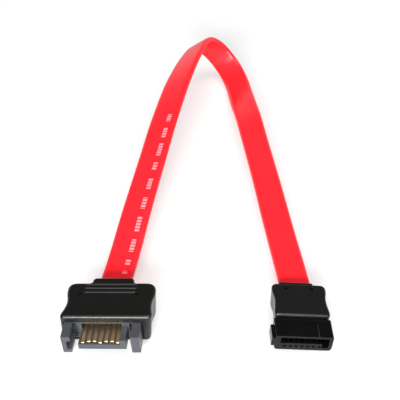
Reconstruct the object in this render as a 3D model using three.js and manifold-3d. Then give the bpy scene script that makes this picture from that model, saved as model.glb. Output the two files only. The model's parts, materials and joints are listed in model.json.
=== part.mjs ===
// Short serial drive-data extension cable: a plug and a receptacle on one flat red ribbon.
// Units are millimetres, +Z is up. Each connector is built flat on z = 0 in its own frame,
// with +X across it and +Y from its mating end towards the cable, and is then laid down.
import * as THREE from 'three';
import { mergeVertices } from 'three/addons/utils/BufferGeometryUtils.js';
import Module from 'manifold-3d';

const wasm = await Module();
wasm.setup();

// Clearances
const fitGap = 0.3;
const mouldGap = 0.25;
const contactGap = 0.12;
const mateGap = 0.1;
const bayGap = 0.25;
const cutOver = 1;

// Mating interface, shared by the plug and the receptacle
const contactCount = 7;
const contactPitch = 1.27;
const slotWidth = 10.6;
const slotHeight = 1.6;
const slotShift = 0.2;
const contactsShift = 0.25;
const legWidth = 1.45;
const legDrop = 1.25;
const noseWidth = 12.6;
const noseHeight = 4.2;
const roofThickness = 0.57;
const tongueLength = 4.15;
const tabHeight = 2.3;
const tabRise = 1.15;
const tabReach = 0.85;

const slotLeft = slotShift - slotWidth / 2;
const slotRight = slotShift + slotWidth / 2;
const legLeft = slotRight - legWidth;
const contactsCentre = (slotLeft + legLeft) / 2 + contactsShift;
const contactNumbers = Array.from({ length: contactCount }, (_, i) => i + 1);
const contactX = (number) => contactsCentre + (number - (contactCount + 1) / 2) * contactPitch;
const isGround = (number) => number % 3 === 1;

// Ribbon and the wires that its jacket carries
const ribbonWidth = 7.3;
const ribbonThickness = 1.7;
const ribbonEdgeRound = 0.8;
const ribbonInset = 2;
const ribbonPlay = 0.05;
const stepsPerSpan = 2;
const signalWireRadius = 0.37;
const drainWireRadius = 0.2;
const wirePitch = 0.98;
const wireRoom = 0.35;

// Where the connectors lie, and how the stiff ribbon turns and tips them
const plugX = -20.2;
const plugYaw = -4.2;
const plugRoll = -4.2;
const receptacleX = 22.8;
const receptacleSetBack = 1.3;
const receptacleYaw = 1.8;
const receptacleRoll = 5.2;

// Plug housing
const housingWidth = 16.9;
const housingBottom = 1.1;
const armLength = 4.3;
const tongueSetBack = armLength - tongueLength;
const leftArmWall = 0.95;
const flangeDepth = 2;
const housingBlockWidth = 14;
const housingBlockInset = 0.35;
const housingBlockDepth = 3.3;
const wallRecessDepth = 1.4;
const wallRecessWidth = 0.75;
const plugContactWidth = 0.8;
const plugContactThickness = 0.25;
const plugContactProud = 0.07;
const plugGroundLead = 0.35;
const plugContactSetBack = 0.8;
const plugTailLength = 1.5;

const bayHalf = noseWidth / 2 + bayGap;
const housingHeight = noseHeight + 2 * bayGap;
const housingTop = housingBottom + housingHeight;
const flangeEnd = armLength + flangeDepth;
const housingEnd = flangeEnd + housingBlockDepth;
const tongueBottom = housingBottom + bayGap + roofThickness + mateGap;
const tongueTop = tongueBottom + slotHeight - 2 * mateGap;
const keyTop = tongueTop + legDrop;
const plugContactTop = tongueTop + plugContactProud;
const plugContactBottom = plugContactTop - plugContactThickness;
const plugRibbonX = 0.5;
const plugRibbonZ = (plugContactTop + plugContactBottom) / 2;
const plugTailEnd = housingEnd + plugTailLength;

// Plug overmould
const hoodSetBack = 4.2;
const hoodShift = 0.75;
const hoodFloor = housingBottom - mouldGap;
const hoodLip = 1.25;
const hoodHeight = housingTop + mouldGap + hoodLip;
const plugBodyEnd = 14.6;
const plugReliefEnd = 16.4;
const plugEdgeRound = 0.85;
const plugFrontCorner = 1.9;
const plugRearCorner = 2.2;
const plugFrontLand = 2.3;
const plugWaistShare = 0.56;
const plugHalfWidths = { front: 10.05, waist: 9.3, rear: 9.75 };
const plugReliefShift = 0.5;
const plugReliefRound = 0.25;
const plugReliefHalf = 5.3;
const plugReliefTaper = 0.55;
const plugReliefDrop = 0.35;
const grooveCount = 3;
const groovePitch = 1.25;
const grooveWidth = 0.5;
const grooveDepth = 0.4;
const grooveFromRear = 0.8;
const grooveHalf = 5.7;
const dimpleRadius = 0.45;
const dimpleDepth = 0.4;
const plugDimpleX = 6.3;

// Receptacle housing
const noseBottom = 0.5;
const noseLength = 5.15;
const noseTopRound = 0.35;
const noseBottomRound = 0.9;
const slotDepth = tongueLength + 0.35;
const neckWall = 0.4;
const neckInset = 0.6;
const neckDepth = 2.7;
const tabLength = 3.9;
const windowWidth = 0.65;
const windowHeight = 0.5;
const windowRise = 0.88;
const frontWall = 0.6;
const seamX = 3.05;
const seamWidth = 0.2;
const seamDepth = 0.12;
const springWidth = 0.55;
const springThickness = 0.2;
const springRise = 0.3;
const springReach = 2.1;
const springTailLength = 2.2;
const springTailLift = 1.3;

const noseTop = noseBottom + noseHeight;
const slotTop = noseTop - roofThickness;
const slotBottom = slotTop - slotHeight;
const springZ = noseBottom + windowRise;
const neckEnd = noseLength + neckDepth;
const springTailEnd = neckEnd + springTailLength;
const receptacleRibbonX = -0.05;
const receptacleRibbonZ = springZ + springTailLift + springThickness / 2;

// Receptacle overmould
const collarHeight = 5.6;
const collarSetBack = noseLength + mouldGap;
const collarEnd = 14.4;
const collarReliefEnd = 15.5;
const collarEdgeRound = 0.5;
const collarFrontCorner = 1.1;
const collarRearCorner = 1.5;
const collarFrontLand = 1.4;
const collarWaistShare = 0.5;
const collarReliefRound = 0.25;
const collarHalfWidths = { front: 5.95, waist: 5.6, rear: 5.8 };
const collarReliefHalf = 4.7;
const collarReliefTaper = 0.5;
const collarReliefDrop = 0.5;
const collarDimpleX = 3;
const collarDimpleFromRear = 0.9;

// Colours seen in the photograph
const finishes = {
  ribbon: { color: 0xf2303a, roughness: 0.45, metalness: 0 },
  overmould: { color: 0x191917, roughness: 0.5, metalness: 0 },
  plugHousing: { color: 0x4c4f58, roughness: 0.4, metalness: 0 },
  receptacleHousing: { color: 0x222222, roughness: 0.42, metalness: 0 },
  gold: { color: 0xc9a063, roughness: 0.3, metalness: 1 },
  copper: { color: 0xb87a52, roughness: 0.35, metalness: 1 },
  insulation: { color: 0xe9e4da, roughness: 0.6, metalness: 0 },
};

// From a closed geometry to a solid that can be cut and joined, and back
function solidOf(geometry) {
  const bare = geometry.clone();
  bare.deleteAttribute('normal');
  bare.deleteAttribute('uv');
  const merged = mergeVertices(bare, 1e-5);
  return new wasm.Manifold(new wasm.Mesh({
    numProp: 3,
    vertProperties: new Float32Array(merged.attributes.position.array),
    triVerts: new Uint32Array(merged.index.array),
  }));
}

function geometryOf(solid) {
  const mesh = solid.getMesh();
  const geometry = new THREE.BufferGeometry();
  geometry.setAttribute('position', new THREE.BufferAttribute(mesh.vertProperties, 3));
  geometry.setIndex(new THREE.BufferAttribute(mesh.triVerts, 1));
  geometry.computeVertexNormals();
  return geometry;
}

function block(x0, x1, y0, y1, z0, z1) {
  const box = new THREE.BoxGeometry(x1 - x0, y1 - y0, z1 - z0);
  box.translate((x0 + x1) / 2, (y0 + y1) / 2, (z0 + z1) / 2);
  return solidOf(box);
}

function pit(x, y, z0, z1, radius) {
  const cylinder = new THREE.CylinderGeometry(radius, radius, z1 - z0, 12);
  cylinder.rotateX(Math.PI / 2).translate(x, y, (z0 + z1) / 2);
  return solidOf(cylinder);
}

// A plan outline raised between two heights, with its top and bottom edges rounded
function raised(outline, z0, z1, round) {
  const geometry = new THREE.ExtrudeGeometry(outline, {
    depth: z1 - z0 - 2 * round,
    bevelEnabled: round > 0,
    bevelThickness: round,
    bevelSize: round,
    bevelOffset: -round,
    bevelSegments: 4,
    curveSegments: 6,
  });
  return solidOf(geometry.translate(0, 0, z0 + round));
}

// A side profile drawn in Y and Z, given its width across X
function across(profile, x0, x1) {
  const geometry = new THREE.ExtrudeGeometry(profile, { depth: x1 - x0, bevelEnabled: false });
  const upright = new THREE.Matrix4().makeBasis(
    new THREE.Vector3(0, 1, 0),
    new THREE.Vector3(0, 0, 1),
    new THREE.Vector3(1, 0, 0),
  );
  return geometry.applyMatrix4(upright).translate(x0, 0, 0);
}

function meshOf(name, geometry, finish) {
  const mesh = new THREE.Mesh(geometry, new THREE.MeshStandardMaterial(finishes[finish]));
  mesh.name = name;
  return mesh;
}

// Waisted grip outline, symmetric about Y
function gripOutline(front, rear, half, frontLand, waistShare, frontCorner, rearCorner) {
  const landEnd = front + frontLand;
  const waistAt = front + (rear - front) * waistShare;
  const rearLand = rear - rearCorner;
  const frontMid = (landEnd + waistAt) / 2;
  const rearMid = (waistAt + rearLand) / 2;
  const outline = new THREE.Shape();
  outline.moveTo(frontCorner - half.front, front);
  outline.lineTo(half.front - frontCorner, front);
  outline.quadraticCurveTo(half.front, front, half.front, front + frontCorner);
  outline.lineTo(half.front, landEnd);
  outline.bezierCurveTo(half.front, frontMid, half.waist, frontMid, half.waist, waistAt);
  outline.bezierCurveTo(half.waist, rearMid, half.rear, rearMid, half.rear, rearLand);
  outline.quadraticCurveTo(half.rear, rear, half.rear - rearCorner, rear);
  outline.lineTo(rearCorner - half.rear, rear);
  outline.quadraticCurveTo(-half.rear, rear, -half.rear, rearLand);
  outline.bezierCurveTo(-half.rear, rearMid, -half.waist, rearMid, -half.waist, waistAt);
  outline.bezierCurveTo(-half.waist, frontMid, -half.front, frontMid, -half.front, landEnd);
  outline.lineTo(-half.front, front + frontCorner);
  outline.quadraticCurveTo(-half.front, front, frontCorner - half.front, front);
  return outline;
}

// Strain relief: a tapered tongue of the same moulding, rooted inside the grip
function reliefOutline(start, end, half, taper) {
  const root = start - (end - start);
  const shoulder = (start + end) / 2;
  const tip = half - taper;
  const outline = new THREE.Shape();
  outline.moveTo(-half, root);
  outline.lineTo(half, root);
  outline.lineTo(half, start);
  outline.lineTo(tip + taper / 3, shoulder);
  outline.lineTo(tip, end);
  outline.lineTo(-tip, end);
  outline.lineTo(-tip - taper / 3, shoulder);
  outline.lineTo(-half, start);
  return outline;
}

function ribbonMouth(x, z, from, to) {
  const halfWidth = ribbonWidth / 2 + fitGap + ribbonPlay;
  const halfHeight = ribbonThickness / 2 + fitGap;
  return block(x - halfWidth, x + halfWidth, from, to, z - halfHeight, z + halfHeight);
}

// The room inside an overmould where the wires leave the ribbon for the contact tails
function wireRoomBlock(z, from, to) {
  const outermost = Math.max(...contactNumbers.map((number) => Math.abs(contactX(number))));
  const half = outermost + plugContactWidth / 2 + wireRoom;
  const halfHeight = signalWireRadius + wireRoom;
  return block(-half, half, from, to, z - halfHeight, z + halfHeight);
}

function wire(name, number, x, z, from, to) {
  const ground = isGround(number);
  const radius = ground ? drainWireRadius : signalWireRadius;
  const start = new THREE.Vector3(contactX(number), from, z);
  const end = new THREE.Vector3(x + (number - (contactCount + 1) / 2) * wirePitch, to, z);
  const along = end.clone().sub(start);
  const geometry = new THREE.CylinderGeometry(radius, radius, along.length(), 10);
  const turn = new THREE.Quaternion().setFromUnitVectors(
    new THREE.Vector3(0, 1, 0),
    along.clone().normalize(),
  );
  geometry.applyQuaternion(turn).translate(...start.add(end).multiplyScalar(0.5).toArray());
  return meshOf(name, geometry, ground ? 'copper' : 'insulation');
}

function wires(side, x, z, from, to) {
  return contactNumbers.map((number) => {
    const kind = isGround(number) ? 'drain' : 'signal';
    return wire(`${side}_${kind}_wire_${number}`, number, x, z, from, to);
  });
}

// Plug: housing with tongue, key and two guide arms, in one moulding
function plugHousing() {
  const half = housingWidth / 2;
  const blockHalf = housingBlockWidth / 2;
  const flange = block(-half, half, armLength, flangeEnd, housingBottom, housingTop);
  const rear = block(
    -blockHalf, blockHalf, armLength, housingEnd,
    housingBottom + housingBlockInset, housingTop - housingBlockInset,
  );
  const tongue = block(
    slotLeft + mateGap, slotRight - mateGap, tongueSetBack, housingEnd, tongueBottom, tongueTop,
  );
  const key = block(
    legLeft + mateGap, slotRight - mateGap, tongueSetBack, flangeEnd, tongueBottom, keyTop,
  );
  const rightArm = block(bayHalf, half, 0, flangeEnd, housingBottom, housingTop);
  const leftArm = block(-half, -bayHalf, 0, flangeEnd, housingBottom, housingTop);
  const tabTop = housingTop - bayGap - tabRise + mateGap;
  const tabBottom = tabTop - tabHeight - 2 * mateGap;
  const tabChannel = block(
    leftArmWall - half, cutOver - bayHalf, -cutOver, armLength + wallRecessDepth, tabBottom, tabTop,
  );
  const recessBottom = housingBottom + bayGap;
  const recessTop = housingTop - bayGap;
  const leftRecess = block(
    -bayHalf, wallRecessWidth - bayHalf, -cutOver, armLength + wallRecessDepth, recessBottom, recessTop,
  );
  const rightRecess = block(
    bayHalf - wallRecessWidth, bayHalf, -cutOver, armLength + wallRecessDepth, recessBottom, recessTop,
  );
  const grooveHalfWidth = plugContactWidth / 2 + contactGap;
  const grooves = contactNumbers.map((number) => block(
    contactX(number) - grooveHalfWidth, contactX(number) + grooveHalfWidth,
    plugContactStart(number) - contactGap, housingEnd + cutOver,
    plugContactBottom - contactGap, plugContactTop + contactGap,
  ));
  const solid = flange.add(rear).add(tongue).add(key).add(rightArm).add(leftArm)
    .subtract(tabChannel).subtract(leftRecess).subtract(rightRecess);
  return meshOf('plug_housing', geometryOf(wasm.Manifold.difference([solid, ...grooves])), 'plugHousing');
}

function plugContactStart(number) {
  const lead = isGround(number) ? plugGroundLead : 0;
  return tongueSetBack + plugContactSetBack - lead;
}

function plugContact(number) {
  const start = plugContactStart(number);
  const nose = plugContactThickness / 2;
  const profile = new THREE.Shape();
  profile.moveTo(start, plugContactBottom);
  profile.lineTo(plugTailEnd, plugContactBottom);
  profile.lineTo(plugTailEnd, plugContactTop);
  profile.lineTo(start + 2 * nose, plugContactTop);
  profile.quadraticCurveTo(start, plugContactTop, start, plugContactBottom + nose / 2);
  const x = contactX(number);
  const geometry = across(profile, x - plugContactWidth / 2, x + plugContactWidth / 2);
  return meshOf(`plug_contact_${number}`, geometry, 'gold');
}

function plugOvermould() {
  const plan = gripOutline(
    hoodSetBack, plugBodyEnd, plugHalfWidths, plugFrontLand, plugWaistShare, plugFrontCorner, plugRearCorner,
  );
  const relief = reliefOutline(plugBodyEnd, plugReliefEnd, plugReliefHalf, plugReliefTaper);
  const body = raised(plan, 0, hoodHeight, plugEdgeRound).translate(hoodShift, 0, 0)
    .add(
      raised(relief, plugReliefDrop, hoodHeight - plugReliefDrop, plugReliefRound)
        .translate(plugReliefShift, 0, 0),
    );
  const half = housingWidth / 2 + mouldGap;
  const blockHalf = housingBlockWidth / 2 + mouldGap;
  const inset = housingBlockInset - mouldGap;
  const cuts = [
    block(-half, half, 0, flangeEnd + fitGap, hoodFloor, housingTop + mouldGap),
    block(-blockHalf, blockHalf, 0, housingEnd + fitGap, housingBottom + inset, housingTop - inset),
    wireRoomBlock(plugRibbonZ, housingEnd, plugReliefEnd - ribbonInset),
    ribbonMouth(plugRibbonX, plugRibbonZ, housingEnd, plugReliefEnd + cutOver),
  ];
  for (let i = 0; i < grooveCount; i += 1) {
    const y = plugBodyEnd - grooveFromRear - i * groovePitch;
    const near = y - grooveWidth / 2;
    const far = y + grooveWidth / 2;
    const left = hoodShift - grooveHalf;
    const right = hoodShift + grooveHalf;
    cuts.push(block(left, right, near, far, hoodHeight - grooveDepth, hoodHeight + cutOver));
    cuts.push(block(left, right, near, far, -cutOver, grooveDepth));
  }
  const dimpleY = plugBodyEnd - grooveFromRear - (grooveCount - 1) * groovePitch;
  for (const side of [-1, 1]) {
    const x = hoodShift + side * plugDimpleX;
    cuts.push(pit(x, dimpleY, hoodHeight - dimpleDepth, hoodHeight + cutOver, dimpleRadius));
  }
  return meshOf('plug_overmould', geometryOf(wasm.Manifold.difference([body, ...cuts])), 'overmould');
}

// Receptacle: housing with its L-shaped slot, contact cells and one guide tab
function noseProfile() {
  const half = noseWidth / 2;
  const profile = new THREE.Shape();
  profile.moveTo(noseBottomRound - half, noseBottom);
  profile.lineTo(half - noseBottomRound, noseBottom);
  profile.quadraticCurveTo(half, noseBottom, half, noseBottom + noseBottomRound);
  profile.lineTo(half, noseTop - noseTopRound);
  profile.quadraticCurveTo(half, noseTop, half - noseTopRound, noseTop);
  profile.lineTo(noseTopRound - half, noseTop);
  profile.quadraticCurveTo(-half, noseTop, -half, noseTop - noseTopRound);
  profile.lineTo(-half, noseBottom + noseBottomRound);
  profile.quadraticCurveTo(-half, noseBottom, noseBottomRound - half, noseBottom);
  return profile;
}

function neckBounds() {
  const cellHalf = springWidth / 2 + contactGap;
  const reach = cellHalf + neckWall;
  return {
    left: contactX(1) - reach,
    right: contactX(contactCount) + reach,
    bottom: noseBottom + neckInset,
    top: noseTop - neckInset,
  };
}

function receptacleHousing() {
  const nose = new THREE.ExtrudeGeometry(noseProfile(), {
    depth: noseLength,
    bevelEnabled: false,
    curveSegments: 4,
  });
  nose.rotateX(Math.PI / 2).translate(0, noseLength, 0);
  const neck = neckBounds();
  const tabLeft = -noseWidth / 2 - tabReach + mateGap;
  const tabBottom = noseBottom + tabRise;
  const body = solidOf(nose)
    .add(block(neck.left, neck.right, noseLength / 2, neckEnd, neck.bottom, neck.top))
    .add(block(tabLeft, 0, 0, tabLength, tabBottom, tabBottom + tabHeight));
  const cuts = [
    block(slotLeft, slotRight, -cutOver, slotDepth, slotBottom, slotTop),
    block(legLeft, slotRight, -cutOver, slotDepth, slotBottom - legDrop, slotTop),
    block(seamX, seamX + seamWidth, -cutOver, tabLength, noseTop - seamDepth, noseTop + cutOver),
  ];
  const cellHalf = springWidth / 2 + contactGap;
  const cellFloor = springZ - contactGap;
  for (const number of contactNumbers) {
    const x = contactX(number);
    const windowLeft = x - windowWidth / 2;
    const windowRight = x + windowWidth / 2;
    cuts.push(block(windowLeft, windowRight, -cutOver, frontWall + contactGap, springZ, springZ + windowHeight));
    cuts.push(block(x - cellHalf, x + cellHalf, frontWall, slotDepth, cellFloor, slotTop));
    cuts.push(block(
      x - cellHalf, x + cellHalf, frontWall, neckEnd + cutOver,
      cellFloor, springZ + springThickness + contactGap,
    ));
  }
  const solid = body.subtract(wasm.Manifold.union(cuts));
  return meshOf('receptacle_housing', geometryOf(solid), 'receptacleHousing');
}

// Spring contact: a strip whose front end rises into the deep half of the slot and falls again
function receptacleContact(number) {
  const tipY = slotDepth - springReach;
  const crownY = tipY + springReach / 3;
  const crownZ = slotBottom + springRise - springThickness;
  const footY = slotDepth;
  const tailZ = springZ + springTailLift;
  const riseStart = neckEnd + fitGap;
  const riseEnd = riseStart + springTailLift / 2;
  const centre = [
    [tipY, springZ + windowHeight / 2],
    [crownY - springRise, crownZ],
    [crownY + springRise, crownZ],
    [footY, springZ],
    [riseStart, springZ],
    [riseEnd, tailZ],
    [springTailEnd, tailZ],
  ];
  const lower = centre.map(([y, z]) => new THREE.Vector2(y, z));
  const upper = centre.map(([y, z]) => new THREE.Vector2(y, z + springThickness)).reverse();
  const x = contactX(number);
  const geometry = across(new THREE.Shape([...lower, ...upper]), x - springWidth / 2, x + springWidth / 2);
  return meshOf(`receptacle_contact_${number}`, geometry, 'gold');
}

function receptacleOvermould() {
  const plan = gripOutline(
    collarSetBack, collarEnd, collarHalfWidths, collarFrontLand, collarWaistShare, collarFrontCorner, collarRearCorner,
  );
  const relief = reliefOutline(collarEnd, collarReliefEnd, collarReliefHalf, collarReliefTaper);
  const body = raised(plan, 0, collarHeight, collarEdgeRound)
    .add(raised(relief, collarReliefDrop, collarHeight - collarReliefDrop, collarReliefRound));
  const neck = neckBounds();
  const cuts = [
    block(
      neck.left - mouldGap, neck.right + mouldGap, 0, neckEnd + mouldGap,
      neck.bottom - mouldGap, neck.top + mouldGap,
    ),
    block(
      neck.left - mouldGap, neck.right + mouldGap, neckEnd, springTailEnd + fitGap,
      springZ - fitGap, receptacleRibbonZ + signalWireRadius + wireRoom,
    ),
    wireRoomBlock(receptacleRibbonZ, neckEnd, collarReliefEnd - ribbonInset),
    ribbonMouth(receptacleRibbonX, receptacleRibbonZ, neckEnd, collarReliefEnd + cutOver),
  ];
  for (const side of [-1, 1]) {
    const x = side * collarDimpleX;
    const y = collarEnd - collarDimpleFromRear;
    cuts.push(pit(x, y, collarHeight - dimpleDepth, collarHeight + cutOver, dimpleRadius));
  }
  const solid = wasm.Manifold.difference([body, ...cuts]);
  return meshOf('receptacle_overmould', geometryOf(solid), 'overmould');
}

// Ribbon route, chosen by hand from the photograph: x, y, z, and the lean of the ribbon's
// width in degrees, from 0 (printed face up) over 90 (on edge) to 180 (plain face up)
const route = [
  [-18.92, 6.2, 4, 4.2],
  [-18.55, 10.5, 4, 4.2],
  [-17.65, 15.9, 4.2, 4.2],
  [-16.65, 21.8, 4.9, 5],
  [-15.05, 31.1, 6.6, 7],
  [-13.2, 40.7, 8.5, 10],
  [-11.3, 50.4, 10.3, 11],
  [-9.5, 60, 12, 12],
  [-7.5, 69.6, 13.5, 14],
  [-5.4, 79.4, 14.4, 18],
  [-3, 89, 14.6, 26],
  [-1.4, 94.9, 14.3, 31],
  [0.3, 100.5, 13.7, 37],
  [1.6, 103.1, 12.8, 43],
  [3.2, 105, 11.2, 56],
  [5.1, 105.9, 9.2, 79],
  [7.1, 105.7, 6.9, 108],
  [8.9, 104.3, 5, 129],
  [10.3, 102.2, 3.7, 141],
  [11.3, 99.5, 3, 148],
  [12.1, 95.5, 2.9, 153],
  [12.7, 89.8, 3.5, 160],
  [13.3, 83.3, 4.7, 168],
  [14.4, 74.3, 5.8, 178],
  [15.6, 65, 5.5, 185],
  [16.9, 55.2, 5.1, 187],
  [18.2, 45.2, 4.6, 187],
  [19.4, 35.4, 4, 186],
  [20.6, 25.6, 3.6, 186],
  [21.8, 15.9, 3.4, 185],
  [22.4, 10.5, 3.3, 185],
  [22.65, 6.65, 3.3, 185],
];

function ribbonSection() {
  const section = new THREE.Shape();
  const flat = ribbonWidth / 2 - ribbonEdgeRound;
  const halfThickness = ribbonThickness / 2;
  const corner = Math.PI / 4;
  for (let quarter = 0; quarter < 4; quarter += 1) {
    const sideX = quarter === 0 || quarter === 3 ? 1 : -1;
    const sideY = quarter < 2 ? 1 : -1;
    for (let k = 0; k < 3; k += 1) {
      const angle = quarter * 2 * corner + k * corner;
      const x = sideX * flat + ribbonEdgeRound * Math.cos(angle);
      const y = sideY * (halfThickness - ribbonEdgeRound) + ribbonEdgeRound * Math.sin(angle);
      if (quarter === 0 && k === 0) section.moveTo(x, y);
      else section.lineTo(x, y);
    }
  }
  return section;
}

// The section is extruded straight, one step to each unit, and each step is then laid on
// the route with its width turned by the lean
function ribbonJacket() {
  const line = new THREE.CatmullRomCurve3(
    route.map(([x, y, z]) => new THREE.Vector3(x, y, z)), false, 'centripetal',
  );
  const leans = new THREE.SplineCurve(route.map((stop) => new THREE.Vector2(stop[3], 0)));
  const steps = (route.length - 1) * stepsPerSpan;
  const geometry = new THREE.ExtrudeGeometry(ribbonSection(), {
    depth: steps,
    steps,
    bevelEnabled: false,
  });
  const up = new THREE.Vector3(0, 0, 1);
  const frames = Array.from({ length: steps + 1 }, (_, step) => {
    const t = step / steps;
    const tangent = line.getTangent(t);
    const level = tangent.clone().cross(up).normalize();
    const steep = level.clone().cross(tangent);
    const lean = THREE.MathUtils.degToRad(leans.getPoint(t).x);
    const width = level.multiplyScalar(Math.cos(lean)).addScaledVector(steep, Math.sin(lean));
    return { centre: line.getPoint(t), width, face: tangent.clone().cross(width) };
  });
  const position = geometry.attributes.position;
  const point = new THREE.Vector3();
  for (let i = 0; i < position.count; i += 1) {
    point.fromBufferAttribute(position, i);
    const { centre, width, face } = frames[Math.round(point.z)];
    const laid = centre.clone().addScaledVector(width, point.x).addScaledVector(face, point.y);
    position.setXYZ(i, laid.x, laid.y, laid.z);
  }
  geometry.computeVertexNormals();
  return meshOf('ribbon_jacket', geometry, 'ribbon');
}

function plug() {
  const group = new THREE.Group();
  group.add(plugOvermould(), plugHousing(), ...contactNumbers.map(plugContact));
  const wireEnd = plugReliefEnd - ribbonInset - fitGap;
  group.add(...wires('plug', plugRibbonX, plugRibbonZ, plugTailEnd + fitGap, wireEnd));
  return group;
}

function receptacle() {
  const group = new THREE.Group();
  group.add(receptacleOvermould(), receptacleHousing(), ...contactNumbers.map(receptacleContact));
  const wireEnd = collarReliefEnd - ribbonInset - fitGap;
  const wireStart = springTailEnd + fitGap;
  group.add(...wires('receptacle', receptacleRibbonX, receptacleRibbonZ, wireStart, wireEnd));
  return group;
}

// Tip and turn a connector and let its lowest edge rest on the table
function layDown(connector, x, y, yaw, roll) {
  connector.rotation.order = 'ZYX';
  connector.rotation.set(0, THREE.MathUtils.degToRad(roll), THREE.MathUtils.degToRad(yaw));
  connector.updateMatrixWorld(true);
  const lowest = new THREE.Box3().setFromObject(connector, true).min.z;
  connector.position.set(x, y, -lowest);
  return connector;
}

const connectors = new THREE.Group();
connectors.add(layDown(plug(), plugX, 0, plugYaw, plugRoll));
connectors.add(layDown(receptacle(), receptacleX, receptacleSetBack, receptacleYaw, receptacleRoll));
connectors.updateMatrixWorld(true);
const middle = new THREE.Box3().setFromObject(connectors, true).getCenter(new THREE.Vector3());
connectors.position.set(-middle.x, -middle.y, 0);

const cable = new THREE.Group();
cable.add(connectors, ribbonJacket());

export default cable;
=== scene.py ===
# %% [markdown]
# # A short data cable with a flat red ribbon
#
# The cable has a wide plug at one end, a narrow receptacle at the other and a flat ribbon
# between them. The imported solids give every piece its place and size. Here each visible piece
# is made again with fine edges, and gets a material with the grain and sheen of the real one.
# Sizes are in millimetres, and `MM` turns them into Blender's metres.

# %% Load the solids
import json
import math

import bmesh
import bpy
from mathutils import Matrix, Vector

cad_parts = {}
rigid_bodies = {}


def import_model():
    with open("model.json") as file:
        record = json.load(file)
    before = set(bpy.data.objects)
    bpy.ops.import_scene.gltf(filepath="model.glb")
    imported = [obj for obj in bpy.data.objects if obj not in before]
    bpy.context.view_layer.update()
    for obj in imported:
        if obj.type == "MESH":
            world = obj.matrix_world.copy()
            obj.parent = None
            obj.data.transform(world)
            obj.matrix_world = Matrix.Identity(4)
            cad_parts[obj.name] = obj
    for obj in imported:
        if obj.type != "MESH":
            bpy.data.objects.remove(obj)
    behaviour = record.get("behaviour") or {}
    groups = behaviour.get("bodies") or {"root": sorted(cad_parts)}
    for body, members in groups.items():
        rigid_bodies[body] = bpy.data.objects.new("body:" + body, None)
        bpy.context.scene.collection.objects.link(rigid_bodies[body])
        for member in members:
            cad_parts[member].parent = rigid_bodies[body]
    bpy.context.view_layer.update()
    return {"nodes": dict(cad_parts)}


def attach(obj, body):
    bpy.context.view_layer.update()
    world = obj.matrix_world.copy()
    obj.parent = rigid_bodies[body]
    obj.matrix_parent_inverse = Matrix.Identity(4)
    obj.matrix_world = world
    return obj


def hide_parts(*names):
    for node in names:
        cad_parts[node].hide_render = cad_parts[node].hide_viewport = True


MM = 0.001
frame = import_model()
nodes = frame["nodes"]

# %% [markdown]
# ## The camera
#
# The picture was taken from in front and above, close enough for the near connectors to look
# larger than the loop behind them. The camera is level from side to side, and only its pitch
# and its height over the table give the view. A square picture on a 36 mm sensor needs a lens
# of about 81 mm.

# %% Camera
CAMERA_AT = Vector((0.72, -136.38, 150.9)) * MM
CAMERA_DOWN = math.radians(39.75)
CAMERA_LENS = 81.27
CAMERA_SENSOR = 36
CAMERA_NEAR = 5 * MM

camera_data = bpy.data.cameras.new("camera")
camera_data.lens = CAMERA_LENS
camera_data.sensor_width = CAMERA_SENSOR
camera_data.clip_start = CAMERA_NEAR
camera = bpy.data.objects.new("camera", camera_data)
bpy.context.collection.objects.link(camera)
camera.location = CAMERA_AT
camera.rotation_euler = (math.pi / 2 - CAMERA_DOWN, 0, 0)
bpy.context.scene.camera = camera
print("camera:", tuple(camera.location))

# %% [markdown]
# ## The ribbon's route
#
# A stiff ribbon leaves the plug flat, climbs a little, folds over in a narrow loop that leans
# on the table, and comes back with its plain face up. The route is a list of points, each with
# one more number that says how far the ribbon's width leans, in degrees. Nought is printed
# face up, ninety stands on edge, and a half turn shows the plain face.

# %% Route
ROUTE = [
    (-18.92, 6.2, 4, 4.2),
    (-18.55, 10.5, 4, 4.2),
    (-17.65, 15.9, 4.2, 4.2),
    (-16.65, 21.8, 4.9, 5),
    (-15.05, 31.1, 6.6, 7),
    (-13.2, 40.7, 8.5, 10),
    (-11.3, 50.4, 10.3, 11),
    (-9.5, 60, 12, 12),
    (-7.5, 69.6, 13.5, 14),
    (-5.4, 79.4, 14.4, 18),
    (-3, 89, 14.6, 26),
    (-1.4, 94.9, 14.3, 31),
    (0.3, 100.5, 13.7, 37),
    (1.6, 103.1, 12.8, 43),
    (3.2, 105, 11.2, 56),
    (5.1, 105.9, 9.2, 79),
    (7.1, 105.7, 6.9, 108),
    (8.9, 104.3, 5, 129),
    (10.3, 102.2, 3.7, 141),
    (11.3, 99.5, 3, 148),
    (12.1, 95.5, 2.9, 153),
    (12.7, 89.8, 3.5, 160),
    (13.3, 83.3, 4.7, 168),
    (14.4, 74.3, 5.8, 178),
    (15.6, 65, 5.5, 185),
    (16.9, 55.2, 5.1, 187),
    (18.2, 45.2, 4.6, 187),
    (19.4, 35.4, 4, 186),
    (20.6, 25.6, 3.6, 186),
    (21.8, 15.9, 3.4, 185),
    (22.4, 10.5, 3.3, 185),
    (22.65, 6.65, 3.3, 185),
]
print("route:", len(ROUTE), "points")

# %% [markdown]
# ## A smooth curve through the points
#
# A curve object could be drawn through the points, but its twist is hard to steer in a tight
# fold, and the solid ribbon has to follow the very same line. So the curve is worked out here.
# Each span between two points is a cubic, and it leaves and arrives in the direction that its
# neighbours give. The spans are weighed by the square roots of their lengths, which keeps the
# curve from swinging out where the points lie close together.

# %% Curve
STEPS_PER_SPAN = 8


def cubic(here, there, leave, arrive, t):
    """Goes from here to there as t goes from 0 to 1, with a given speed at either end."""
    square = -3 * here + 3 * there - 2 * leave - arrive
    cube = 2 * here - 2 * there + leave + arrive
    return here + leave * t + square * t**2 + cube * t**3


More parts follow.
